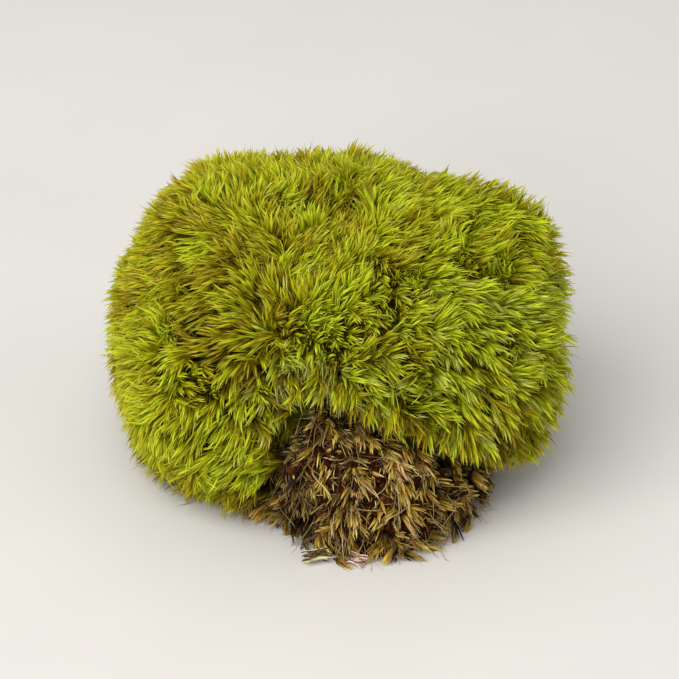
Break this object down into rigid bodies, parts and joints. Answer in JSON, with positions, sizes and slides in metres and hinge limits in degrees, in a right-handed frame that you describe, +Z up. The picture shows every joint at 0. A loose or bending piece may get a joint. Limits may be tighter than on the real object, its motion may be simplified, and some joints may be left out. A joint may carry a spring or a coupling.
{
  "type": "moss clump",
  "caption": "Domed cushion of green moss shoots grown over a brown base of dead shoots and humus, cut off flat below, with a bare brown patch low at the front.",
  "frame": {"origin": "on the ground, under the centre of the clump's box", "axes": "+X to the right and +Z up as seen from the front, where the brown patch is; +Y to the back"},
  "size_m": [0.096, 0.094, 0.062],
  "materials": {
    "green_shoots": "living moss leaves, soft and slightly translucent, yellow-green",
    "dead_shoots": "dead moss shoots, rhizoid felt and humus, matt tan and dark brown",
    "pale_scrap": "dry dead stem, matt pinkish tan"
  },
  "bodies": {
    "root": {"green_cushion": "green_shoots", "brown_base": "dead_shoots", "pale_scrap_left": "pale_scrap", "pale_scrap_right": "pale_scrap"}
  },
  "joints": []
}
